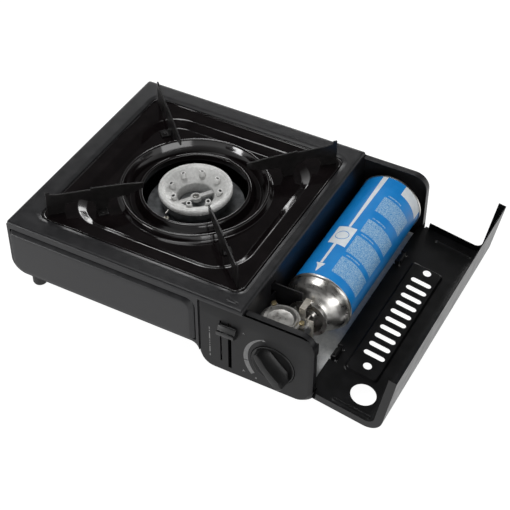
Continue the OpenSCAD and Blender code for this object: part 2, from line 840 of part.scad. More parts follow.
module burner_cap() {
  color("#d6d7d8") at_burner() translate([0, 0, cap_z]) difference() {
    union() {
      rotate_extrude() polygon(cap_profile);
      rotate([0, 0, 55])
        block([-cap_bore_r - 1, -2.6, cup_top - 5.2], [cap_bore_r + 1, 2.6, cup_top - 2]);
      rod_z(0, 0, cup_top - 5.6, cup_top - 1.8, 5.8);
      for (n = [0:port_count - 1])
        rotate([0, 0, (n + 1 / 3) * 360 / port_count]) rod_z(port_ring_r, 0, 1, cap_h, spout_r);
    }
    for (n = [0:port_count - 1])
      rotate([0, 0, (n + 1 / 3) * 360 / port_count]) rod_z(port_ring_r, 0, -4, cap_h + 1, port_r);
    rod_z(0, 0, -cup_drop - 1, cup_top + 1, 2);
  }
}

module cap_screw() {
  color("silver") at_burner() {
    rod_z(0, 0, cap_z + cup_top - 1.8, cap_z + cup_top - 0.6, 3.6);
    rod_z(0, 0, body_z + 4, cap_z + cup_top - 1.2, 2);
  }
}

tube_start = body_r - 9.5;

module mixing_tube() {
  color("#8f9193") at_burner() mixing_line() translate([0, 0, tube_start]) difference() {
    cylinder(h = line_len - mouth_at - tube_start, r = tube_r);
    translate([0, 0, -1]) cylinder(h = line_len, r = tube_r - 1);
  }
}

module gas_jet() {
  color("#b8963e") at_burner() mixing_line() translate([0, 0, line_len - mouth_at + 3]) difference() {
    cylinder(h = jet_len, r = pipe_r + 2);
    translate([0, 0, 3]) cylinder(h = jet_len, r = pipe_r);
    translate([0, 0, -1]) cylinder(h = 5, r = 0.5);
  }
}

module gas_pipe() {
  color("#a9803a") at_burner() mixing_line() translate([0, 0, line_len - mouth_at + 6]) difference() {
    cylinder(h = mouth_at - 6, r = pipe_r);
    translate([0, 0, -1]) cylinder(h = mouth_at + 6, r = pipe_r - 1);
  }
}

module electrode_ceramic() {
  color("ivory") at_burner() rotate([0, 0, plug_angle]) difference() {
    rod_z(plug_r, 0, body_z + 4, cap_z - 4, 2.6);
    rod_z(plug_r, 0, body_z + 3, cap_z, 0.9);
  }
}

module electrode() {
  color("silver") at_burner() rotate([0, 0, plug_angle]) {
    rod_z(plug_r, 0, body_z + 8, cap_z + 2, 0.9);
    translate([plug_r, 0, cap_z + 2]) rotate([0, -70, 0]) cylinder(h = 4.5, r = 0.9);
    translate([plug_r, 0, cap_z + 2]) sphere(0.9);
  }
}

// the lead runs from the igniter under the regulator, through the divider to the electrode
plug_at = [burner_x + plug_r * cos(plug_angle), burner_y + plug_r * sin(plug_angle)];
lead_r = 1.2;
lead_y = reg_y1 + 9;
lead_route = [[piezo_x, piezo_back, piezo_z], [piezo_x, piezo_back + 3, piezo_z],
              [piezo_x, lead_y, 22], [deck_len + 6, lead_y, 22], [divider_x - 12, lead_y, 34],
              [plug_at.x, plug_at.y, 34], [plug_at.x, plug_at.y, body_z + 4]];

module igniter_lead() {
  color("#8a2f28") home() {
    for (n = [0:len(lead_route) - 2]) lead_run(lead_route[n], lead_route[n + 1]);
    for (n = [1:len(lead_route) - 2]) translate(lead_route[n]) sphere(lead_r);
  }
}

module lead_run(from, to) {
  step = to - from;
  translate(from) rotate([0, acos(step.z / norm(step)), atan2(step.y, step.x)])
    cylinder(h = norm(step), r = lead_r);
}

// ---- regulator ----

reg_screw_x = reg_x0 + 5;
reg_screw_z = [reg_z1 - 4, reg_z1 - 14];
reg_screw_r = 1.5;
inlet_r = 10;

module regulator_body() {
  color("#a7a9ab") home() difference() {
    union() {
      block([reg_x0, web_back, reg_z0], [reg_x1, reg_y1, reg_z1]);
      rod_y(cart_x, cart_z, reg_y1 - 1, nozzle_y - 4, inlet_r);
      rod_z(dish_x, dish_y, reg_z1 - 1, dish_seat, 11);
    }
    rod_y(knob_x, knob_z, web_back - 1, web_back + 12.5, shaft_r + shaft_gap);
    translate([outlet_x, outlet_y, tube_z]) rotate([0, 90, line_angle])
      translate([0, 0, -6]) cylinder(h = 12, r = pipe_r);
    for (z = reg_screw_z) rod_y(reg_screw_x, z, web_back - 1, web_back + 6, reg_screw_r);
  }
}

module regulator_screws() {
  color("#c9a24a") home()
    for (z = reg_screw_z) {
      rod_y(reg_screw_x, z, web_y - 1.4, web_y, 3);
      rod_y(reg_screw_x, z, web_y - 0.5, web_back + 5, reg_screw_r);
    }
}

module at_dish() { home() translate([dish_x, dish_y, 0]) children(); }

ear_r = 3.2;
cover_screw_r = 1.4;

module ears(z0, z1, r) {
  for (a = screw_angles) rotate([0, 0, a]) rod_z(dish_r + 1.6, 0, z0, z1, r);
}

module diaphragm_housing() {
  color("#c4c6c8") at_dish() difference() {
    union() {
      translate([0, 0, dish_seat]) rotate_extrude()
        polygon([[0, 0], [12, 0], [16, 1.6], [dish_r, 1.6], [dish_r, 2.8], [0, 2.8]]);
      ears(ear_z, skin_z, ear_r);
    }
    ears(reg_z1, cover_z + flange_t, cover_screw_r);
  }
}

module diaphragm() {
  color("#202022") at_dish() rod_z(0, 0, skin_z, cover_z, dish_r - 1.2);
}

module diaphragm_cover() {
  color("#dcdddd") at_dish() difference() {
    union() {
      translate([0, 0, cover_z]) rotate_extrude()
        polygon([[0, 0.6], [8, 0.6], [13, 1.2], [15.4, 3.2], [16.6, 3.2], [17.4, 1.2],
                 [dish_r, 1.2], [dish_r, 0], [0, 0]]);
      ears(cover_z, cover_z + flange_t, ear_r);
    }
    ears(skin_z, cover_z + 2 * flange_t, cover_screw_r);
  }
}

module cover_screws() {
  color("#c9a24a") at_dish() {
    ears(cover_z + flange_t, cover_z + flange_t + 2, ear_r - 0.5);
    ears(dish_seat + 0.6, cover_z + flange_t + 0.4, cover_screw_r);
  }
}

module inlet_nozzle() {
  color("#c9a24a") home() difference() {
    union() {
      rod_y(cart_x, cart_z, nozzle_y - 4, nozzle_y - 1, 5);
      rod_y(cart_x, cart_z, nozzle_y - 2, nozzle_y, 3.4);
    }
    rod_y(cart_x, cart_z, nozzle_y - 3.6, nozzle_y + 1, 2.2);
  }
}

module inlet_seal() {
  color("#202022") home() translate([cart_x, nozzle_y + 0.6, cart_z]) rotate([90, 0, 0])
    rotate_extrude() translate([3, 0]) circle(r = 0.6, $fn = 24);
}

// plate round the inlet, with a tab over the cartridge's collar and a key in its notch
module guide_tab() {
  color("#d0d2d3") home() {
    along_y(guide_y, guide_y + 1.5) difference() {
      union() {
        translate([cart_x - 11.5, cart_z - 11.5]) square([23, reg_z1 - cart_z + 11]);
        translate([cart_x - 3, cart_z]) square([6, flange_r + 3]);
      }
      translate([cart_x, cart_z]) circle(inlet_r);
    }
    block([cart_x - 3, guide_y, cart_z + flange_r + 1.8],
          [cart_x + 3, collar_y + 3.4, cart_z + flange_r + 3]);
    block([cart_x - 1, collar_y - 3, cart_z + flange_r - 2],
          [cart_x + 1, collar_y + 3.4, cart_z + flange_r + 2]);
  }
}

// ---- cartridge ----

// local z runs from the cartridge's back end to its valve
module at_cartridge() {
  home() translate([cart_x, cart_back, cart_z]) rotate([90, 0, 0]) children();
}

module cartridge_can() {
  color("#1e86c8") at_cartridge() rotate_extrude()
    translate([cart_r - can_t, 1]) square([can_t, cart_len - 2]);
}

module cartridge_base() {
  color("silver") at_cartridge() rotate_extrude()
    polygon([[0, 4], [24, 4], [30, 1.5], [31.4, 0], [seam_r, 0], [seam_r, 2], [cart_r, 2],
             [cart_r, 1], [31.8, 1], [30.4, 2.4], [24.4, 5], [0, 5]]);
}

module cartridge_dome() {
  color("#cfd0d1") at_cartridge() rotate_extrude()
    polygon(concat([[cart_r, cart_len - 1], [cart_r, cart_len - 2.4], [seam_r, cart_len - 2.4],
                    [seam_r, cart_len]], dome_arc(0), [[neck_r, collar_at - 7]],
                   [[neck_r - 1, collar_at - 7]], [for (n = [8:-1:0]) dome_arc(-1)[n]]));
}

// quarter curve from the front seam to the neck
function dome_arc(i) = [for (n = [0:8]) let (a = 90 * n / 8)
  [neck_r + 1.5 + i + (cart_r - 2 - neck_r) * cos(a), cart_len + (collar_at - 8 - cart_len) * sin(a)]];

module cartridge_collar() {
  color("#8e8f90") at_cartridge() difference() {
    rotate_extrude()
      polygon([[0, collar_at - 6.5], [neck_r - 1, collar_at - 6.5], [neck_r - 1, collar_at - 7],
               [neck_r, collar_at - 7], [neck_r, collar_at - 1.2], [flange_r, collar_at - 1.2],
               [flange_r, collar_at], [neck_r - 1.2, collar_at], [neck_r - 2, collar_at - 5.5],
               [8, collar_at - 5.5], [6, collar_at - 2.4], [0, collar_at - 2.4]]);
    block([-2, neck_r + 0.2, collar_at - 2], [2, flange_r + 2, collar_at + 1]);
    cylinder(h = collar_at + 5, r = 1.6);
  }
}

module cartridge_valve() {
  color("#dddddd") at_cartridge()
    translate([0, 0, collar_at - 6.5]) cylinder(h = 6.5 + valve_tip, r = 1.6);
}

// ---- lid ----

// the lid is drawn closed and turned open about its hinge
module lid_turn() {
  home() translate([hinge_x, 0, hinge_z]) rotate([0, lid_open, 0])
    translate([-hinge_x, 0, -hinge_z]) children();
}

// the lid seen from the front, drawn in by i
module lid_outline(i) {
  round_box([lid_tip_x, hinge_z - 4], [case_len - i, lid_top - i], [0, 0, lid_r - i, 0]);
}

// the strip between the lid's outer face and a line drawn in by i
module lid_section(i) {
  difference() {
    lid_outline(0);
    difference() {
      translate([lid_tip_x - 1, hinge_z - 5])
        square([case_len - i - lid_tip_x + 1, lid_top - i - hinge_z + 5]);
      corner_cut([case_len - i, lid_top - i], [-1, -1], max(lid_r - i, 1));
    }
  }
}

module lid_cover() {
  color("#242426") lid_turn() difference() {
    union() {
      along_y(lid_y0, lid_y1) lid_section(sheet_t);
      for (y = [lid_y0, lid_y1 - sheet_t])
        along_y(y, y + sheet_t) difference() {
          lid_section(flange_w);
          translate([lid_tip_x - 1, 0]) square([big, hinge_z + 6]);
        }
      for (y = hinge_ys) rod_y(hinge_x, hinge_z, y - knuckle_len / 2, y + knuckle_len / 2, knuckle_r);
    }
    for (y = hinge_ys) {
      rod_y(hinge_x, hinge_z, y - knuckle_len, y + knuckle_len, pin_r + pin_gap);
      for (side = [-1, 1])
        block([hinge_x, y + side * ear_mid - ear_t / 2 - clear, 0],
              [case_len + 1, y + side * ear_mid + ear_t / 2 + clear, hinge_z + 5]);
    }
    // the corners beside the hinge clear the bay's end walls
    for (y = [[lid_y0 - 1, web_back + clear], [back_in - clear, lid_y1 + 1]])
      block([hinge_x, y[0], 0], [case_len + 1, y[1], hinge_z + hinge_clear]);
    for (n = [0:vent_count - 1]) vent(case_depth / 2 + (n - (vent_count - 1) / 2) * vent_pitch);
    for (y = [-1, 1])
      rod_x(case_depth / 2 + y * vent_pitch * 5.73, vent_z, case_len - 5, case_len + 1, 4.3);
    rod_x(lid_y0 + 31, vent_z + 11, case_len - 5, case_len + 1, lid_hole_r);
  }
}

ear_mid = knuckle_len / 2 + 2;

module vent(y) {
  half = (vent_len - vent_w) / 2;
  for (z = [-half, half]) rod_x(y, vent_z + z, case_len - 5, case_len + 1, vent_w / 2);
  block([case_len - 5, y - vent_w / 2, vent_z - half], [case_len + 1, y + vent_w / 2, vent_z + half]);
}

module hinge_brackets() {
  color("#3a3a3c") home()
    for (y = hinge_ys) for (side = [-1, 1])
      along_y(y + side * ear_mid - ear_t / 2, y + side * ear_mid + ear_t / 2) difference() {
        intersection() {
          case_outline(sheet_t, case_len);
          translate([hinge_x - 3, 0]) square([wall_x - hinge_x + 3, hinge_z + 3]);
        }
        translate([hinge_x, hinge_z]) circle(pin_r);
      }
}

module hinge_pins() {
  color("silver") home()
    for (y = hinge_ys)
      rod_y(hinge_x, hinge_z, y - ear_mid - ear_t / 2, y + ear_mid + ear_t / 2, pin_r);
}

lower_case();
front_panel();
back_panel();
top_plate();
bay_divider();
bay_front_frame();
heat_plate();
tall_feet();
short_feet();
case_screws();
control_fascia();
drip_pan();
pan_support_left();
pan_support_back();
pan_support_right();
pan_support_front();
support_rivets();
burner_bracket();
burner_body();
burner_cap();
cap_screw();
mixing_tube();
gas_jet();
gas_pipe();
electrode_ceramic();
electrode();
igniter_lead();
piezo_igniter();
piezo_plunger();
control_knob();
knob_shaft();
knob_cam();
regulator_body();
diaphragm_housing();
diaphragm();
diaphragm_cover();
cover_screws();
regulator_screws();
inlet_nozzle();
inlet_seal();
guide_tab();
lever_grip();
lever_slider();
slider_guide();
cartridge_pusher();
pusher_guide();
cartridge_can();
cartridge_base();
cartridge_dome();
cartridge_collar();
cartridge_valve();
hinge_brackets();
hinge_pins();
lid_cover();
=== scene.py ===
import json
import math
import bpy
import bmesh
from mathutils import Matrix, Vector


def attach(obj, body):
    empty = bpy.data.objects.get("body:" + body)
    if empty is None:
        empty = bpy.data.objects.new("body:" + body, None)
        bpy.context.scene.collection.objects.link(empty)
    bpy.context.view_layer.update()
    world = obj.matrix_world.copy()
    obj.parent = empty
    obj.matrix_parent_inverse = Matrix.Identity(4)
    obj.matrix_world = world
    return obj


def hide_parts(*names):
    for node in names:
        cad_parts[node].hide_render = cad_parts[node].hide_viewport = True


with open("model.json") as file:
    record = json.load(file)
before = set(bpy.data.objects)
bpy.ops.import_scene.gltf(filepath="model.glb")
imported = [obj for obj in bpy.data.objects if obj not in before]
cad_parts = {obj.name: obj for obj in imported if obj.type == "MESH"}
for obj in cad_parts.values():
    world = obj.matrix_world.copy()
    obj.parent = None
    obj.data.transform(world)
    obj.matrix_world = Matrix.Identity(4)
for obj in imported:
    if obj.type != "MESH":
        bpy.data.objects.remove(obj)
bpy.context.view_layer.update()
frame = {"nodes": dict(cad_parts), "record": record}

# Stove sizes are in millimetres: x from the left side, y from the front, z up from the table.
mm = 0.001
originX, originY = 208.201, 126.35         # where the frame's origin lies in those sizes
scene = bpy.context.scene
scene.view_settings.view_transform = "Standard"


def at(x, y, z=0.0):
    return Vector(((x - originX) * mm, (y - originY) * mm, z * mm))


def srgb(text):
    parts = [int(text[i:i + 2], 16) / 255 for i in (1, 3, 5)]
    return [c / 12.92 if c <= 0.04045 else ((c + 0.055) / 1.055) ** 2.4 for c in parts] + [1.0]


def addNode(tree, kind, settings, links=()):
    node = tree.nodes.new("ShaderNode" + kind)
    for key, value in settings.items():
        if isinstance(key, int) or key in node.inputs:
            node.inputs[key].default_value = value
        else:
            setattr(node, key, value)
    for key, source in links:
        tree.links.new(source, node.inputs[key])
    return node


# ---- materials ----

finishes = {}
cloudSpan = (0.35, 0.65)                   # the stretch of the noise that lies between the two tones


def mottle(tree, shader, dark, light, patch, rough):
    # cloudy variation of colour and gloss, patch is its size in mm
    place = addNode(tree, "TexCoord", {})
    cloud = addNode(tree, "TexNoise", {"Scale": 1 / (patch * mm), "Detail": 4.0, "Roughness": 0.6},
                    [("Vector", place.outputs["Object"])])
    ramp = addNode(tree, "ValToRGB", {}, [("Fac", cloud.outputs["Fac"])])
    for stop, position, tone in zip(ramp.color_ramp.elements, cloudSpan, (dark, light)):
        stop.position, stop.color = position, srgb(tone)
    tree.links.new(ramp.outputs["Color"], shader.inputs["Base Color"])
    gloss = addNode(tree, "MapRange", {"From Min": cloudSpan[0], "From Max": cloudSpan[1],
                                       "To Min": rough[0], "To Max": rough[1]},
                    [("Value", cloud.outputs["Fac"])])
    tree.links.new(gloss.outputs["Result"], shader.inputs["Roughness"])
    return place, ramp


def grain(tree, shader, place, size, height):
    # fine bump, size and height in mm
    noise = addNode(tree, "TexNoise", {"Scale": 1 / (size * mm), "Detail": 2.0},
                    [("Vector", place.outputs["Object"])])
    bump = addNode(tree, "Bump", {"Strength": 0.5, "Distance": height * mm},
                   [("Height", noise.outputs["Fac"])])
    tree.links.new(bump.outputs["Normal"], shader.inputs["Normal"])


def plainFinish(name, dark, light, patch, rough, grainSize, grainHeight, metallic=0.0,
                ior=1.5, coat=0.0, coatRoughness=0.1):
    # a finish in two close tones, clouded over patches of patch mm; rough holds its two roughnesses
    mat = bpy.data.materials.new(name)
    mat.use_nodes = True
    tree = mat.node_tree
    shader = tree.nodes["Principled BSDF"]
    for key, value in {"Base Color": srgb(dark), "Roughness": rough[0], "Metallic": metallic, "IOR": ior,
                       "Coat Weight": coat, "Coat Roughness": coatRoughness}.items():
        shader.inputs[key].default_value = value
    place, ramp = mottle(tree, shader, dark, light, patch, rough)
    grain(tree, shader, place, grainSize, grainHeight)
    finishes[name] = mat
    return ramp


# powder coat on sheet steel: satin black with a soft orange peel, drawn at 1.4 mm so that it shows
plainFinish("casePaint", "#1b1b1d", "#222224", 9, (0.34, 0.42), 1.4, 0.035, ior=1.4)
# black stoving enamel inside the bay: glossier, with a little dust-like cloud
plainFinish("bayPaint", "#121214", "#19191b", 14, (0.3, 0.4), 2.2, 0.03)
# hot-dip galvanised sheet: pale zinc with a spangle a few millimetres across
plainFinish("galvanised", "#dcdfe1", "#f2f4f5", 5, (0.34, 0.46), 1.5, 0.02, metallic=0.3)
# moulded rubber: matt black
plainFinish("footRubber", "#101011", "#171718", 3, (0.6, 0.75), 0.8, 0.04)
# bright zinc plate on small steel parts
plainFinish("platedSteel", "#a5a39e", "#cdcbc6", 6, (0.26, 0.38), 0.9, 0.01, metallic=1.0)
# satin lacquer on the control fascia
plainFinish("fasciaCoat", "#121213", "#171718", 8, (0.42, 0.5), 1.2, 0.03, ior=1.33)
# vitreous enamel on the drip pan: black-brown glass over steel, with its slow waviness
plainFinish("panEnamel", "#0a0607", "#120d0e", 22, (0.09, 0.15), 7.0, 0.12, ior=1.5,
            coat=0.3, coatRoughness=0.05)
# matt enamel on the pan supports
plainFinish("supportEnamel", "#0d0c0c", "#151313", 4, (0.3, 0.4), 1.0, 0.004)
# die-cast burner body and its shield: satin mid grey
plainFinish("castAlloy", "#6e7072", "#8a8c8e", 6, (0.32, 0.42), 1.2, 0.03, metallic=0.85)
# shot-blasted die-cast aluminium: pale, matt, tiny dimples
plainFinish("castAluminium", "#c6c6c4", "#dadad8", 3, (0.42, 0.55), 0.9, 0.05, metallic=0.35)
# turned brass
plainFinish("brass", "#9a8a66", "#b7a883", 4, (0.25, 0.38), 0.8, 0.01, metallic=1.0)
# painted shade: matt black for a plug that closes each flame port just under its top, standing in for the
# shaded depth of the hole
plainFinish("sootBlack", "#0a0a0a", "#121212", 3, (0.7, 0.8), 1.0, 0.01)
# glazed ceramic insulator
plainFinish("ceramic", "#d9d4c8", "#e6e2d8", 3, (0.15, 0.22), 1.0, 0.01)
# silicone covered lead
plainFinish("leadCover", "#5e1a16", "#70221c", 3, (0.5, 0.6), 1.0, 0.02)
# moulded black plastic of the igniter and the lever, with a soft gloss
plainFinish("mouldedPlastic", "#0e0e0f", "#141415", 4, (0.34, 0.42), 0.7, 0.005)
# moulded knob: a touch of fine spark-eroded grain
plainFinish("knobPlastic", "#0e0e0f", "#131313", 5, (0.4, 0.48), 0.7, 0.03, ior=1.4)
# die-cast zinc of the regulator
plainFinish("castZinc", "#8d8e90", "#b0b1b2", 5, (0.3, 0.42), 1.0, 0.04, metallic=1.0)
# nickel plate on pressed steel: bright, slightly warm, with slow waves
plainFinish("nickel", "#bdb7ab", "#e2ddd2", 8, (0.26, 0.36), 5.0, 0.06, metallic=0.65)
# bright drawn tinplate
plainFinish("tinplate", "#c6c4bf", "#e8e6e2", 8, (0.26, 0.36), 3.0, 0.02, metallic=1.0)
# nitrile seal
plainFinish("sealRubber", "#101011", "#161617", 2, (0.5, 0.6), 0.8, 0.01)
# enamelled lid: black and fairly glossy
plainFinish("lidEnamel", "#0b0b0c", "#111113", 16, (0.32, 0.4), 1.8, 0.005, ior=1.38)
# grey ink printed on the fascia
plainFinish("dialInk", "#6f6f6f", "#808080", 3, (0.5, 0.6), 0.6, 0.005)
# lithographed tinplate: gloss lacquer over blue ink
plainFinish("printedCan", "#1284d3", "#188cda", 12, (0.32, 0.4), 2.0, 0.01, ior=1.42)
# white ink on the cartridge
plainFinish("whiteInk", "#dfe7ec", "#eaf0f4", 6, (0.4, 0.5), 1.0, 0.005)
# the pale blocks printed on the cartridge: a fine weave of two blues, with a harder edge between them
weave = plainFinish("paleHatch", "#2a8bd0", "#a8cbe6", 0.9, (0.4, 0.5), 0.8, 0.005).color_ramp.elements
weave[0].position, weave[1].position = 0.42, 0.56

slotFinish = {
    "case_paint": "casePaint", "bay_paint": "bayPaint", "galvanised_steel": "galvanised",
    "foot_rubber": "footRubber", "plated_steel": "platedSteel", "fascia_plastic": "fasciaCoat",
    "pan_enamel": "panEnamel", "support_enamel": "supportEnamel", "burner_casting": "castAlloy",
    "burner_aluminium": "castAluminium", "gas_brass": "brass", "igniter_ceramic": "ceramic",
    "lead_cover": "leadCover", "igniter_plastic": "mouldedPlastic", "knob_plastic": "knobPlastic",
    "zinc_casting": "castZinc", "nickel_plate": "nickel", "seal_rubber": "sealRubber",
    "can_print": "tinplate", "tinplate": "tinplate", "lid_enamel": "lidEnamel"}
print("stage: materials")

# ---- shaping ----

slotOf = {row["node"]: row["material_slot"] for row in frame["record"]["subparts"]}
bodyOf = {node: body for body, nodes in frame["record"]["behaviour"]["bodies"].items() for node in nodes}


def nodeMesh(node):
    # a merged copy of a frame node, with its flat triangles joined into whole faces
    bm = bmesh.new()
    bm.from_mesh(frame["nodes"][node].data)
    bmesh.ops.remove_doubles(bm, verts=bm.verts, dist=0.002 * mm)
    bmesh.ops.dissolve_limit(bm, angle_limit=math.radians(0.6), verts=bm.verts, edges=bm.edges,
                             use_dissolve_boundaries=False, delimit={"NORMAL"})
    return bm


def sharpEdges(bm, degrees):
    limit = math.radians(degrees)
    return [e for e in bm.edges if len(e.link_faces) == 2 and e.calc_face_angle(0.0) > limit]


def roundEdges(bm, width, segments=2, degrees=30, chosen=None):
    edges = chosen if chosen is not None else sharpEdges(bm, degrees)
    bmesh.ops.bevel(bm, geom=edges, offset=width * mm, offset_type="OFFSET", segments=segments,
                    profile=0.5, affect="EDGES", clamp_overlap=True, material=-1)


def piece(name, bm, body, slot, finish=None, replaces=(), smooth=40, turned=None, weighted=False):
    # hands one finished shape to the scene; edges sharper than smooth degrees stay sharp
    if turned:
        bmesh.ops.transform(bm, matrix=turned, verts=bm.verts)
    for face in bm.faces:
        face.smooth = True
    limit = math.radians(smooth)
    for edge in bm.edges:
        edge.smooth = not (len(edge.link_faces) == 2 and edge.calc_face_angle(0.0) > limit)
    mesh = bpy.data.meshes.new(name)
    bm.to_mesh(mesh)
    bm.free()
    obj = bpy.data.objects.new(name, mesh)
    scene.collection.objects.link(obj)
    mesh.materials.append(finishes[finish or slotFinish[slot]])
    if weighted:
        # large faces lead the shading, so that flat sheet stays flat beside its eased edges
        even = obj.modifiers.new("evenShading", "WEIGHTED_NORMAL")
        even.keep_sharp, even.weight = True, 100
    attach(obj, body)
    if replaces:
        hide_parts(*replaces)


def trim(bm, point, normal):
    # cuts off what lies beyond a plane and closes the cut
    cut = bmesh.ops.bisect_plane(bm, geom=bm.verts[:] + bm.edges[:] + bm.faces[:], plane_co=point,
                                 plane_no=normal, clear_outer=True)["geom_cut"]
    bmesh.ops.holes_fill(bm, edges=[e for e in cut if isinstance(e, bmesh.types.BMEdge)], sides=0)


def softCorners(points, cut, steps=3, closed=False):
    # replaces each corner of a line by a small curve that starts cut mm before it
    made = []
    for i, here in enumerate(points):
        if not closed and i in (0, len(points) - 1):
            made.append(Vector(here))
            continue
        here, before, after = Vector(here), Vector(points[i - 1]), Vector(points[(i + 1) % len(points)])
        start = here + (before - here).normalized() * min(cut, (before - here).length * 0.45)
        end = here + (after - here).normalized() * min(cut, (after - here).length * 0.45)
        for n in range(steps + 1):
            t = n / steps
            made.append(start * (1 - t) ** 2 + here * 2 * t * (1 - t) + end * t * t)
    return [tuple(p) for p in made]


def boxRing(bm, low, high, radii, height, arc=10, side=12):
    # a level loop in the shape of a rectangle with rounded corners, from the lower left one round
    points = []
    corners = [(low[0], low[1], 1, 1, 180), (high[0], low[1], -1, 1, 270),
               (high[0], high[1], -1, -1, 0), (low[0], high[1], 1, -1, 90)]
    for (x, y, sx, sy, start), r in zip(corners, radii):
        r = max(r, 0.3)
        for n in range(arc + 1):
            a = math.radians(start + 90 * n / arc)
            points.append(Vector((x + sx * r + r * math.cos(a), y + sy * r + r * math.sin(a), height)))
    full = []
    for i, point in enumerate(points):
        full.append(point)
        if i % (arc + 1) == arc:
            after = points[(i + 1) % len(points)]
            full += [point.lerp(after, n / side) for n in range(1, side)]
    return [bm.verts.new(p * mm) for p in full]


def circleRing(bm, centre, radius, height, count=144):
    # a level circle that starts at the lower left too
    turns = [math.radians(225) + math.tau * n / count for n in range(count)]
    points = [(centre[0] + radius * math.cos(t), centre[1] + radius * math.sin(t), height) for t in turns]
    return [bm.verts.new(Vector(p) * mm) for p in points]


def joinRings(bm, rings, closed=True):
    # the rings are nested, where Bridge Loops pairs them askew, so their equal counts are joined in order
    pairs = list(zip(rings, rings[1:])) + ([(rings[-1], rings[0])] if closed else [])
    for first, second in pairs:
        for n in range(len(first)):
            bm.faces.new((first[n - 1], first[n], second[n], second[n - 1]))
    bmesh.ops.recalc_face_normals(bm, faces=bm.faces)


def cappedRings(bm, rings):
    # a solid from rings in order, with a face over each end
    joinRings(bm, rings, False)
    for ring in (rings[0], rings[-1]):
        bm.faces.new(ring)
    bmesh.ops.recalc_face_normals(bm, faces=bm.faces)


def turnedShape(points, steps=96):
    # a closed section of (radius, height) points in mm, spun about the z axis
    bm = bmesh.new()
    verts = [bm.verts.new((r * mm, 0, z * mm)) for r, z in points]
    pairs = list(zip(verts, verts[1:])) + ([(verts[-1], verts[0])] if
                                           max(points[0][0], points[-1][0]) > 0.01 else [])
    edges = [bm.edges.new(pair) for pair in pairs]
    bmesh.ops.spin(bm, geom=edges + verts, cent=(0, 0, 0), axis=(0, 0, 1), angle=math.tau,
                   steps=steps, use_merge=True)
    bmesh.ops.remove_doubles(bm, verts=bm.verts, dist=0.001 * mm)
    bmesh.ops.recalc_face_normals(bm, faces=bm.faces)
    return bm


def addBar(bm, low, high, matrix):
    # a box between two corners in mm
    verts = bmesh.ops.create_cube(bm, size=1.0)["verts"]
    bmesh.ops.scale(bm, vec=[(h - l) * mm for l, h in zip(low, high)], verts=verts)
    bmesh.ops.translate(bm, vec=[(h + l) / 2 * mm for l, h in zip(low, high)], verts=verts)
    bmesh.ops.transform(bm, matrix=matrix, verts=verts)


def placed(x, y, z=0.0, turn=None):
    return Matrix.Translation(at(x, y, z)) @ (turn or Matrix.Identity(4))


inStove = placed(0, 0)                     # for shapes drawn in stove sizes
faceOut = Matrix.Rotation(math.radians(90), 4, "X")        # local z to -y: outwards from the front


def title(node):
    # top_plate becomes topPlate
    return node.split("_")[0] + "".join(word.capitalize() for word in node.split("_")[1:])


def dressed(node, width, cut=None, finish=None):
    # a frame node with its sharp edges rounded by width mm
    bm = nodeMesh(node)
    if cut:
        trim(bm, *cut)
    roundEdges(bm, width)
    piece(title(node), bm, bodyOf[node], slotOf[node], finish, (node,), weighted=True)


# ---- case ----

deckTop, skirtEnd = 91.0, 87.0
skirtCut = (at(0, 0, skirtEnd), (0, 0, 1))       # the walls stop where the deck's skirt starts

# pieces whose frame shape is right and only needs eased edges: width of the round in mm
easedEdges = {
    "bay_front_frame": 0.2, "heat_plate": 0.2, "tall_feet": 2.5, "short_feet": 0.6,
    "case_screws": 0.3, "control_fascia": 1.5, "lever_slider": 0.15, "slider_guide": 0.2,
    "cartridge_pusher": 0.2, "pusher_guide": 0.3, "regulator_body": 0.8, "diaphragm_housing": 0.25,
    "cover_screws": 0.3, "regulator_screws": 0.3, "inlet_nozzle": 0.2,
    "guide_tab": 0.2, "burner_bracket": 0.2, "burner_body": 0.5, "hinge_brackets": 0.2,
    "pan_support_left": 0.4, "pan_support_back": 0.4, "pan_support_right": 0.4,
    "pan_support_front": 0.4, "diaphragm_cover": 0.3, "support_rivets": 0.4,
    "piezo_igniter": 0.5, "cartridge_base": 0.2, "cartridge_collar": 0.2}
# two pieces whose finish isn't that of their slot
otherFinish = {"cartridge_pusher": "bayPaint", "diaphragm_cover": "tinplate"}
for node, width in easedEdges.items():
    dressed(node, width, finish=otherFinish.get(node))
for node in ("lower_case", "back_panel", "bay_divider"):
    dressed(node, 0.25, cut=skirtCut)

# the panel's face lies 0.6 mm in from the front, and its outline is rounded as far as x 216
front = {"face": 0.6, "end": 216, "round": 0.5}
frontForm = nodeMesh("front_panel")
trim(frontForm, *skirtCut)
corner = at(front["end"], front["face"])
outline = [e for e in sharpEdges(frontForm, 30)
           if all(abs(v.co.y - corner.y) < 0.01 * mm and v.co.x < corner.x for v in e.verts)]
roundEdges(frontForm, front["round"], 3, chosen=outline)
piece("frontPanel", frontForm, "case", "case_paint", None, ("front_panel",), 40, weighted=True)

# the middle of the front panel is pressed outwards: lower left and upper right corner, four radii, reach
fieldRings = [(4.0, 30.3, 210.8, 81.0, 12, 0.6, 9.4, 1.5, -3.0),
              (4.0, 30.3, 210.8, 81.0, 12, 0.6, 9.4, 1.5, -1.6),
              (5.0, 31.2, 207.0, 77.2, 11.2, 0.8, 7.6, 2.2, 2.2),
              (9.0, 35.0, 202.0, 72.0, 8, 0.8, 6, 2, 2.2)]
fieldForm = bmesh.new()
cappedRings(fieldForm, [boxRing(fieldForm, ring[0:2], ring[2:4], ring[4:8], ring[8])
                        for ring in softCorners(fieldRings, 1.8, 5)])
piece("frontField", fieldForm, "case", "case_paint", None, (), 50, placed(0, 0, 0, faceOut))

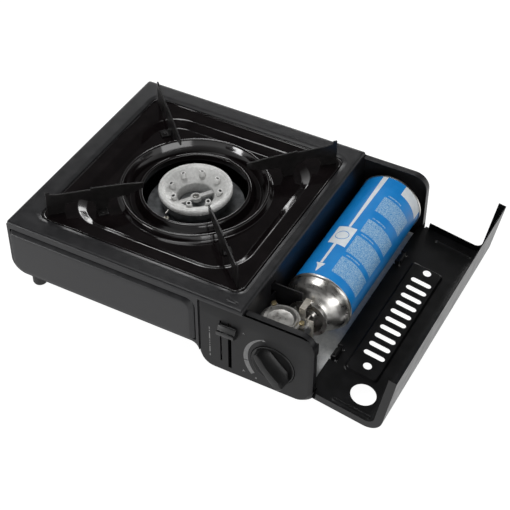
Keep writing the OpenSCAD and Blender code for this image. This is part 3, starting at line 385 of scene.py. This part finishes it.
deck = {"low": (0, 0), "high": (262.4, 264.5), "corners": (3.5, 2, 2, 3.5), "roll": 3.0,
        "recessLow": (23, 21.5), "recessHigh": (249.4, 242.5), "recessCorner": 9,
        "bevelWide": 4.2, "bevelDeep": 1.2, "ledge": 86.4, "sheet": 0.8,
        "flatFrom": 5.4, "flatTo": -6.4}


def deckRing(bm, inset, height):
    return boxRing(bm, [v + inset for v in deck["low"]], [v - inset for v in deck["high"]],
                   [r - inset for r in deck["corners"]], height)


def recessRing(bm, inset, height):
    return boxRing(bm, [v + inset for v in deck["recessLow"]], [v - inset for v in deck["recessHigh"]],
                   [deck["recessCorner"] - inset] * 4, height)


deckForm = bmesh.new()
sheet, roll = deck["sheet"], deck["roll"]


def rollArc(radius, start, end, steps=6):
    # the rolled outer edge of the deck, as (inset, height) points
    turns = [math.radians(start + (end - start) * n / steps) for n in range(steps + 1)]
    return [(roll + radius * math.cos(t), deckTop - roll + radius * math.sin(t)) for t in turns]


# the deck's section in (inset, height): over the roll, down to the ledge and back on the underside
outer = [(sheet, skirtEnd + 0.05), (0, skirtEnd + 0.05)] + rollArc(roll, 180, 90)
outer.append((deck["flatFrom"], deckTop))
inner = softCorners([(deck["flatTo"], deckTop), (-deck["bevelWide"], deckTop),
                     (0, deckTop - deck["bevelDeep"]), (0, deck["ledge"] + sheet),
                     (5, deck["ledge"] + sheet), (5, deck["ledge"]),
                     (-sheet, deck["ledge"]), (-sheet, deckTop - deck["bevelDeep"] - 0.4),
                     (-deck["bevelWide"] - 0.3, deckTop - sheet), (deck["flatTo"], deckTop - sheet)], 0.9, 3)
under = [(deck["flatFrom"], deckTop - sheet)] + rollArc(roll - sheet, 90, 180)
joinRings(deckForm, [deckRing(deckForm, *p) for p in outer] + [recessRing(deckForm, *p) for p in inner]
          + [deckRing(deckForm, *p) for p in under])
piece("topPlate", deckForm, "case", "case_paint", None, ("top_plate",), 50, inStove)

# a small raised dimple near the deck's front right corner; section in (inset, height above the deck)
dimple = {"low": (241.5, 5.8), "high": (253.5, 10.6), "corner": 2.4,
          "section": ((0, -0.4), (0, 0.1), (0.5, 0.6), (1.3, 0.9), (2.0, 1.0))}
dimpleForm = bmesh.new()
cappedRings(dimpleForm, [boxRing(dimpleForm, [v + n for v in dimple["low"]], [v - n for v in dimple["high"]],
                                 [dimple["corner"] - n] * 4, deckTop + z, 6, 2)
                         for n, z in dimple["section"]])
piece("deckDimple", dimpleForm, "case", "case_paint", None, (), 50, inStove)
print("stage: case")

# ---- drip pan ----

pan = {"low": (23.8, 22.3), "high": (248.6, 241.7), "corner": 8.2, "lip": 88.5, "floor": 82.0,
       "slopeOut": 15.5, "slopeIn": 24.5, "slopeCorner": 40, "sheet": 1.0, "rim": 1.4,
       "centre": (133.5, 137.0)}


def panRing(bm, inset, height):
    share = min(max(inset / pan["slopeOut"], 0.0), 1.0)
    corner = pan["corner"] * (1 - share) + pan["slopeCorner"] * share - max(inset - pan["slopeOut"], 0)
    return boxRing(bm, [v + inset for v in pan["low"]], [v - inset for v in pan["high"]],
                   [corner] * 4, height, 20, 16)


panForm = bmesh.new()
t = pan["sheet"]
# from the square rim inwards in (inset, height), through the round well in (radius, height) and back below
square = softCorners([(0, pan["lip"] - t), (0, pan["lip"] + pan["rim"]), (t, pan["lip"] + pan["rim"]),
                      (t, pan["lip"]), (pan["slopeOut"], pan["lip"]), (pan["slopeIn"], pan["floor"]),
                      (pan["slopeIn"] + 0.7, pan["floor"])], 1.6, 5)
well = softCorners([(79.2, 82), (78.3, 82), (75.6, 88.6), (73.4, 88.6), (70.6, 82.5),
                    (66, 75.4), (61, 75.4), (56.2, 84.6), (53.2, 84.6), (53.2, 77),
                    (54, 77), (54, 83.6), (55.6, 83.8), (60.4, 74.4), (66.6, 74.4),
                    (71.4, 82), (74, 87.5), (75, 87.5), (77.8, 81), (79.2, 81)], 1.3, 4)
belowFloor = softCorners([(pan["slopeIn"] + 0.7, pan["floor"] - t), (pan["slopeIn"] - 0.4, pan["floor"] - t),
                          (pan["slopeOut"] - 0.4, pan["lip"] - t), (0, pan["lip"] - t)], 1.6, 3)[:-1]
joinRings(panForm, [panRing(panForm, *p) for p in square]
          + [circleRing(panForm, pan["centre"], *p) for p in well]
          + [panRing(panForm, *p) for p in belowFloor])
piece("dripPan", panForm, "pan", "pan_enamel", None, ("drip_pan",), 50, inStove)
print("stage: pan")

# ---- burner ----

cap = {"middle": (133.5, 137), "ring": 25.5, "port": 1.55, "spout": 2.8, "ports": 8, "lean": 14,
       "teeth": 60, "toothDepth": 0.016, "toothFrom": 35.4, "toothTop": 82.2, "top": 86.2, "bar": 55}
capPlace = placed(*cap["middle"])
capForm = turnedShape(softCorners([
    (17.6, 61.4), (19.6, 61.4), (20.3, 74.6), (26.2, 78.2), (35.6, 78.2), (36.2, 79.4), (37.4, 80.6),
    (37.7, 82.0), (37.7, 84.4), (36.9, 86.2), (33.9, 86.2), (33.1, 85.4), (32.3, 85.5), (19.4, 76.2),
    (18.7, 75.0), (17.9, 63.2)], 0.6, 3, True), 180)
for vert in capForm.verts:
    # the lower part of the outer wall is cut into teeth
    spot = Vector((vert.co.x, vert.co.y))
    if spot.length > cap["toothFrom"] * mm and vert.co.z < cap["toothTop"] * mm:
        a = math.atan2(vert.co.y, vert.co.x) * cap["teeth"]
        spot *= 1 - cap["toothDepth"] * (1 - math.cos(a))
        vert.co.x, vert.co.y = spot
piece("burnerCap", capForm, "case", "burner_aluminium", None, ("burner_cap",), 50, capPlace)

for n in range(cap["ports"]):
    # a short spout that leans outwards, and a matt black plug just inside it: painted shade in place of the
    # depth of its hole
    turn = Matrix.Rotation(math.tau * (n + 1 / 3) / cap["ports"], 4, "Z")
    spot = (placed(*cap["middle"], cap["top"]) @ turn @ Matrix.Translation((cap["ring"] * mm, 0, 0))
            @ Matrix.Rotation(math.radians(cap["lean"]), 4, "Y"))
    spoutForm = turnedShape(softCorners([
        (cap["port"], -5.6), (cap["spout"] + 0.5, -5.6), (cap["spout"], -1), (cap["spout"], 0),
        (cap["port"], 0)], 0.5, 3, True), 32)
    piece("capSpout%d" % n, spoutForm, "case", "burner_aluminium", None, (), 50, spot)
    # the plug closes the port 0.35 mm under its top and is painted black as the shade inside the hole
    portShadeForm = turnedShape([(0, -5), (cap["port"] + 0.1, -5), (cap["port"] + 0.1, -0.35), (0, -0.35)], 24)
    piece("capPort%d" % n, portShadeForm, "case", "burner_casting", "sootBlack", (), 50, spot)

# the bar across the cup with its round boss, half sizes and heights above the table
bridge = {"long": 18.6, "wide": 2.6, "low": 70.3, "high": 73.5, "round": 0.8,
          "bossFoot": 5.8, "bossTop": 5.4, "bossTall": 3.8, "bossMiddle": 71.8}
barForm = bmesh.new()
barTurn = Matrix.Rotation(math.radians(cap["bar"]), 4, "Z")
addBar(barForm, (-bridge["long"], -bridge["wide"], bridge["low"]),
       (bridge["long"], bridge["wide"], bridge["high"]), barTurn)
roundEdges(barForm, bridge["round"], 3)
bmesh.ops.create_cone(barForm, cap_ends=True, segments=40, radius1=bridge["bossFoot"] * mm,
                      radius2=bridge["bossTop"] * mm, depth=bridge["bossTall"] * mm,
                      matrix=Matrix.Translation((0, 0, bridge["bossMiddle"] * mm)))
piece("capBridge", barForm, "case", "burner_aluminium", None, (), 40, capPlace)

floorForm = turnedShape(softCorners([(0, 65.6), (17.7, 65.6), (17.7, 63.1), (0, 63.1)], 0.4, 2), 72)
piece("cupFloor", floorForm, "case", "burner_casting", None, (), 40, capPlace)

screwForm = turnedShape(softCorners([(0, 74.9), (2.6, 74.9), (3.5, 74.2), (3.5, 73.6), (0, 73.6)],
                                    0.4, 3), 40)
addBar(screwForm, (-3.6, -0.5, 74.5), (3.6, 0.5, 74.95), barTurn)
piece("capScrew", screwForm, "case", "plated_steel", None, ("cap_screw",), 40, capPlace)
print("stage: burner")

# ---- knob and lever ----

knob = {"x": 294.1, "z": 38.0, "radius": 22.4, "angle": 48,
        "gripHalf": 21.8, "gripFoot": -3.2, "gripTop": 13.0, "gripWide": 8.0}
knobForm = turnedShape(softCorners([
    (0, -3.9), (knob["radius"], -3.9), (knob["radius"], 0.4), (21.7, 1.0), (20.7, 0.7),
    (16.6, -2.4), (12, -2.9), (0, -2.9)], 0.8, 3), 120)
knobMatrix = placed(knob["x"], 0, knob["z"]) @ faceOut
piece("knobDisc", knobForm, "knob", "knob_plastic", None, ("control_knob",), 40, knobMatrix)
gripForm = bmesh.new()
bmesh.ops.create_cube(gripForm, size=1.0)
for axis, cuts in ((0, 16), (2, 6)):
    bmesh.ops.subdivide_edges(gripForm, edges=[
        e for e in gripForm.edges if abs(e.verts[0].co[axis] - e.verts[1].co[axis]) > 0.5], cuts=cuts)
for vert in gripForm.verts:
    along, level = vert.co.x * 2, vert.co.z + 0.5
    # the flanks flare out into the hollow, the far end is broad and the near end slopes down
    half = knob["gripWide"] / 2 * (0.86 + 0.34 * max(0.0, along)) + 3.4 * (1 - level) ** 2.4
    half *= 1 - 0.34 * max(0.0, abs(along) - 0.82) / 0.18
    crest = knob["gripTop"] - 4.0 * max(0.0, -along - 0.1) ** 1.6
    vert.co = ((knob["gripHalf"] - level) * along * mm, math.copysign(half, vert.co.y) * mm,
               (knob["gripFoot"] + (crest - knob["gripFoot"]) * level) * mm)
roundEdges(gripForm, 1.2, 4, 50)
piece("knobGrip", gripForm, "knob", "knob_plastic", None, (), 40,
      knobMatrix @ Matrix.Rotation(math.radians(-knob["angle"]), 4, "Z"))

leverForm = nodeMesh("lever_grip")
roundEdges(leverForm, 0.5, 3, 25)
piece("leverGrip", leverForm, "lever", "igniter_plastic", None, ("lever_grip",), 40)

# a printed crescent between two circles that aren't concentric: x, z and radius of each
dial = {"outer": (296.7, 36.1, 33.2), "inner": (300.9, 37.9, 32.8), "from": 112, "to": 221, "steps": 60,
        "gap": 42}
dialForm = bmesh.new()


def onFascia(x, z):
    return at(x, -0.05, z)


rows = []
for n in range(dial["steps"] + 1):
    a = math.radians(dial["from"] + (dial["to"] - dial["from"]) * n / dial["steps"])
    ray = Vector((math.cos(a), math.sin(a)))
    offset = Vector(dial["outer"][:2]) - Vector(dial["inner"][:2])
    along = ray.dot(offset)
    reach = -along + math.sqrt(along * along - offset.length_squared + dial["inner"][2] ** 2)
    rows.append([dialForm.verts.new(onFascia(dial["outer"][0] + r * ray.x, dial["outer"][1] + r * ray.y))
                 for r in (dial["outer"][2], min(reach, dial["outer"][2] - 0.5))])
for n, (a, b) in enumerate(zip(rows, rows[1:])):
    if n != dial["gap"]:
        dialForm.faces.new((a[0], a[1], b[1], b[0]))
# plain marks: an arrow head at each end of the dial and of the lever's way
marks = [[(283.2, 64.2), (286.6, 65.3), (283.8, 67.4)],
         [(262.4, 63.6), (263.6, 66.4), (265.0, 63.6), (263.6, 64.8)],
         [(262.0, 12.6), (263.3, 16.4), (265.2, 12.8), (263.6, 14.2)],
         [(275.6, 9.8), (277.8, 9.8), (276.7, 12.6)]]
# plain dashes beside the lever: x of their sides, then foot and length of each
dashes = {"left": 226.8, "right": 226.8 + 1.1,
          "rows": ((17.0, 3.2), (22.4, 7.6), (31.4, 1.4), (34.2, 1.4), (37.0, 1.4), (40.2, 8.2),
                   (50.2, 1.6), (53.2, 3.0))}
marks += [[(dashes["left"], z), (dashes["right"], z), (dashes["right"], z + h), (dashes["left"], z + h)]
          for z, h in dashes["rows"]]
for outline in marks:
    dialForm.faces.new([dialForm.verts.new(onFascia(*spot)) for spot in outline])
bmesh.ops.recalc_face_normals(dialForm, faces=dialForm.faces)
piece("dialPrint", dialForm, "case", "fascia_plastic", "dialInk", (), 40)
print("stage: controls")

# ---- cartridge ----

can = {"x": 298.7, "z": 46.6, "back": 251.5, "radius": 33.0, "from": 1, "to": 165, "wall": 32.2}
alongCan = placed(can["x"], can["back"], can["z"], faceOut)
canForm = turnedShape(softCorners([(can["wall"], can["from"]), (can["radius"], can["from"]),
                                   (can["radius"], can["to"]), (can["wall"], can["to"])], 0.15, 1, True), 144)
piece("canWall", canForm, "cartridge", "can_print", "printedCan", ("cartridge_can",), 40, alongCan)


def onCan(angle, y, lift=0.04):
    # a point on the cartridge: angle in degrees from the right, y in mm
    a, r = math.radians(angle), can["radius"] + lift
    return at(can["x"] + r * math.cos(a), y, can["z"] + r * math.sin(a))


def printPatch(bm, patch, steps=24):
    # patch is a four-cornered area in (angle, y), with corners in order
    p = [Vector(q) for q in patch]
    rows = [[bm.verts.new(onCan(*p[start].lerp(p[end], n / steps))) for start, end in ((0, 1), (3, 2))]
            for n in range(steps + 1)]
    for a, b in zip(rows, rows[1:]):
        bm.faces.new((a[0], b[0], b[1], a[1]))


# white print: the long line from the back, the box, the short line, the arrow head and a band at the back
labelForm = bmesh.new()
for patch in [[(106, 250), (96, 250), (99, 164), (103.5, 164)],
              [(122, 164), (86, 163), (86, 134), (122, 138)],
              [(108, 137), (102.5, 137), (103, 106), (107.5, 106)],
              [(114, 106), (97, 105), (104, 93), (105, 93)],
              [(60, 250), (4, 250), (4, 236), (60, 236)]]:
    printPatch(labelForm, patch)
piece("canPrint", labelForm, "cartridge", "can_print", "whiteInk", (), 40)
# hatched blocks, front and length of each, with a short stripe behind every one
hatchForm = bmesh.new()
for y, length in [(197, 24), (163, 20), (130, 26), (99, 24)]:
    low, high = y + length + 2.6, y + length + 4.2
    printPatch(hatchForm, [(81, y + length), (16, y + length), (16, y), (81, y)], 40)
    printPatch(hatchForm, [(76, high), (48, high), (48, low), (76, low)])
piece("canHatch", hatchForm, "cartridge", "can_print", "paleHatch", (), 40)
# a thin oval line in the box: its middle and the half sizes of its two sides in (angle, y)
oval = {"angle": 104, "y": 150, "sides": ((12.5, 6.5), (11.5, 5.7)), "lift": 0.08, "steps": 48}
ovalForm = bmesh.new()
turns = [math.tau * n / oval["steps"] for n in range(oval["steps"])]
loops = [[ovalForm.verts.new(onCan(oval["angle"] + a * math.cos(t), oval["y"] + b * math.sin(t),
                                   oval["lift"])) for t in turns] for a, b in oval["sides"]]
for n in range(oval["steps"]):
    ovalForm.faces.new((loops[0][n - 1], loops[0][n], loops[1][n], loops[1][n - 1]))
piece("canOval", ovalForm, "cartridge", "can_print", "printedCan", (), 40)
domeForm = turnedShape(softCorners([
    (32.2, 162), (33.1, 163.2), (34, 163.8), (34.1, 165), (33.6, 166.2), (32.6, 166), (32.0, 165.2),
    (31.6, 166.6), (31.0, 169.8), (29.4, 173.6), (26.8, 177.0), (23.4, 179.8), (20.2, 181.8), (18.4, 183.4),
    (17.5, 184.2), (16.5, 183.6), (19, 180.8), (25, 177), (30, 170), (31, 162)], 0.9, 3, True), 144)
piece("canDome", domeForm, "cartridge", "tinplate", None, ("cartridge_dome",), 50, alongCan)
print("stage: cartridge")

# ---- lid ----

# the lid is shaped closed, where its side wall stands upright: s runs up from the hinge axis, y from the
# front; the beads are given as (y, rise)
lid = {"axis": (333.0, 20.0), "open": 99.8, "wall": 335.0, "plateau": (13, 46, 47.5, 210.5), "rise": 1.9,
       "slope": 2.4, "beads": ((9, 0.4), (253, 1.5)), "beadS": (21, 61), "beadSlope": 2.0,
       "hinges": (58.0, 206.5), "earMid": 8.0, "slotEnd": (335.1, 1.6, 23.9, 335.9, 25.6)}
pivot = Matrix.Translation(at(lid["axis"][0], 0, lid["axis"][1]))
swing = pivot @ Matrix.Rotation(math.radians(lid["open"]), 4, "Y") @ pivot.inverted()
lidForm = nodeMesh("lid_cover")
bmesh.ops.transform(lidForm, matrix=swing.inverted(), verts=lidForm.verts)
roundEdges(lidForm, 0.32, 3, 40)
slotLeft, slotHalf, slotLow, slotRight, slotHigh = lid["slotEnd"]
for hingeY in lid["hinges"]:
    for side in (-1, 1):
        # the ear slots end just beyond the ears
        slotY = hingeY + side * lid["earMid"]
        addBar(lidForm, (slotLeft, slotY - slotHalf, slotLow),
               (slotRight, slotY + slotHalf, slotHigh), inStove)
bmesh.ops.triangulate(lidForm, faces=lidForm.faces)


def lines(middle, reach, step):
    # evenly spaced values on both sides of a middle
    count = int(reach / step)
    return [middle + n * step for n in range(-count, count + 1)]


def slices(bm, points, normal):
    # cuts the mesh along planes, so that the pressings have edges to bend at
    for point in points:
        near = bm.verts[:] + bm.edges[:] + bm.faces[:]
        bmesh.ops.bisect_plane(bm, geom=near, plane_co=point, plane_no=normal)


s0, s1, y0, y1 = lid["plateau"]
slices(lidForm, [at(0, 0, lid["axis"][1] + s) for s in lines(s0 + 1, 3, 1) + lines(s1 - 1, 3, 1)
                 + lines(lid["beadS"][0], 2, 1) + lines(lid["beadS"][1], 2, 1)], (0, 0, 1))
slices(lidForm, [at(0, y) for y in lines(y0 + 1, 3, 1) + lines(y1 - 1, 3, 1)
                 + lines(lid["beads"][0][0], 3, 0.75) + lines(lid["beads"][1][0], 3, 0.75)], (0, 1, 0))


def easeStep(value):
    value = min(max(value, 0.0), 1.0)
    return value * value * (3 - 2 * value)


def boxDistance(s, y, low, high, corner):
    # how far a point lies outside a box with rounded corners, less than 0 inside it
    ds = max(low[0] - s, s - high[0]) + corner
    dy = max(low[1] - y, y - high[1]) + corner
    return math.hypot(max(ds, 0), max(dy, 0)) + min(max(ds, dy), 0) - corner


wallX = at(lid["wall"], 0).x
for vert in lidForm.verts:
    if vert.co.x < wallX:
        continue
    s, y = vert.co.z / mm - lid["axis"][1], vert.co.y / mm + originY
    rise = lid["rise"] * easeStep(0.5 - boxDistance(s, y, (s0, y0), (s1, y1), 4) / lid["slope"])
    for beadY, beadRise in lid["beads"]:
        away = boxDistance(s, y, (lid["beadS"][0], beadY - 1), (lid["beadS"][1], beadY + 1), 1)
        rise += beadRise * easeStep(1 - away / lid["beadSlope"])
    vert.co.x -= rise * mm
bmesh.ops.transform(lidForm, matrix=swing, verts=lidForm.verts)
piece("lidCover", lidForm, "lid", "lid_enamel", None, ("lid_cover",), 30, weighted=True)
dressed("hinge_pins", 0.2, finish="lidEnamel")
print("stage: lid")

# the rest keeps its frame shape, in the finish of its slot
for node, obj in frame["nodes"].items():
    if not obj.hide_render:
        obj.data.materials.clear()
        obj.data.materials.append(finishes[slotFinish[slotOf[node]]])
print("stage: plain nodes")

# ---- floor, light and camera ----

# in metres. floorTone and worldTone light the stove. The camera and the reflections see floorShade with
# floorGlow instead, and a surround that fades from white at height paleUpTo to dimTo at dimFrom.
studio = {"floorTone": "#e9e9e9", "floorSize": 9.0, "floorGap": 0.0002, "floorShade": "#6a6a6a",
          "floorGlow": 0.97, "worldTone": "#ffffff", "worldStrength": 0.35,
          "paleUpTo": 0.15, "dimFrom": 0.55, "dimTo": 0.06, "aim": (0, 0, 0.04)}
# place, size and power in watts of each soft lamp
lamps = {"topLamp": ((-0.35, 0.1, 1.4), (0.7, 0.5), 7.0),
         "sideLamp": ((1.25, -0.8, 0.5), (1.3, 0.5), 7.0),
         "leftLamp": ((-0.85, -1.05, 0.24), (0.35, 0.25), 4.0),
         "lowBackLamp": ((-0.45, 1.25, 0.34), (1.4, 0.3), 7.0)}


def seenRays(tree):
    # 1 for what the camera sees, directly or in a gloss, and 0 for the light that falls on the stove
    rays = addNode(tree, "LightPath", {})
    seen = addNode(tree, "Math", {"operation": "ADD"}, [(0, rays.outputs["Is Camera Ray"]),
                                                        (1, rays.outputs["Is Glossy Ray"])])
    seenAll = addNode(tree, "Math", {"operation": "ADD", "use_clamp": True},
                      [(0, seen.outputs[0]), (1, rays.outputs["Is Transmission Ray"])])
    return seenAll.outputs[0]


floorMesh = bmesh.new()
bmesh.ops.create_grid(floorMesh, x_segments=2, y_segments=2, size=studio["floorSize"] / 2)
floorData = bpy.data.meshes.new("floor")
floorMesh.to_mesh(floorData)
floorMesh.free()
floor = bpy.data.objects.new("floor", floorData)
floor.location = (0, 0, -studio["floorGap"])
scene.collection.objects.link(floor)

floorMat = bpy.data.materials.new("paleFloor")
floorMat.use_nodes = True
tree = floorMat.node_tree
tree.nodes.clear()
seen = seenRays(tree)
matt = addNode(tree, "BsdfDiffuse", {"Color": srgb(studio["floorTone"])})
shade = addNode(tree, "BsdfDiffuse", {"Color": srgb(studio["floorShade"])})
glow = addNode(tree, "Emission", {"Color": srgb("#ffffff"), "Strength": studio["floorGlow"]})
pale = addNode(tree, "AddShader", {}, [(0, shade.outputs[0]), (1, glow.outputs[0])])
mixed = addNode(tree, "MixShader", {}, [(0, seen), (1, matt.outputs[0]), (2, pale.outputs[0])])
addNode(tree, "OutputMaterial", {}, [("Surface", mixed.outputs[0])])
floorData.materials.append(floorMat)

world = bpy.data.worlds.new("studioWorld")
world.use_nodes = True
scene.world = world
tree = world.node_tree
tree.nodes.clear()
seen = seenRays(tree)
direction = addNode(tree, "TexCoord", {})
parts = addNode(tree, "SeparateXYZ", {}, [(0, direction.outputs["Generated"])])
height = addNode(tree, "MapRange", {"From Min": studio["paleUpTo"], "From Max": studio["dimFrom"],
                                    "To Min": 1.0, "To Max": studio["dimTo"]},
                 [("Value", parts.outputs["Z"])])
soft = addNode(tree, "Background", {"Color": srgb(studio["worldTone"]), "Strength": studio["worldStrength"]})
back = addNode(tree, "Background", {"Color": srgb("#ffffff")}, [("Strength", height.outputs["Result"])])
mixed = addNode(tree, "MixShader", {}, [(0, seen), (1, soft.outputs[0]), (2, back.outputs[0])])
addNode(tree, "OutputWorld", {}, [("Surface", mixed.outputs[0])])

for name, (place, size, power) in lamps.items():
    data = bpy.data.lights.new(name, "AREA")
    data.shape, data.size, data.size_y, data.energy = "RECTANGLE", size[0], size[1], power
    lamp = bpy.data.objects.new(name, data)
    scene.collection.objects.link(lamp)
    lamp.location = place
    lamp.rotation_euler = (Vector(studio["aim"]) - Vector(place)).to_track_quat("-Z", "Y").to_euler()

# angles in degrees: from the front towards the right, and up
cameraView = {"target": (-18.2 * mm, 31.65 * mm, 0.0), "azimuth": 28.46, "elevation": 43.25,
              "distance": 1391.2 * mm, "lens": 94.14, "sensor": 36.0}
cameraData = bpy.data.cameras.new("camera")
cameraData.lens, cameraData.sensor_width = cameraView["lens"], cameraView["sensor"]
camera = bpy.data.objects.new("camera", cameraData)
turn, lift = math.radians(cameraView["azimuth"]), math.radians(cameraView["elevation"])
back = Vector((math.sin(turn) * math.cos(lift), -math.cos(turn) * math.cos(lift), math.sin(lift)))
camera.location = Vector(cameraView["target"]) + back * cameraView["distance"]
camera.rotation_euler = (-back).to_track_quat("-Z", "Y").to_euler()
scene.collection.objects.link(camera)
scene.camera = camera
print("stage: studio")
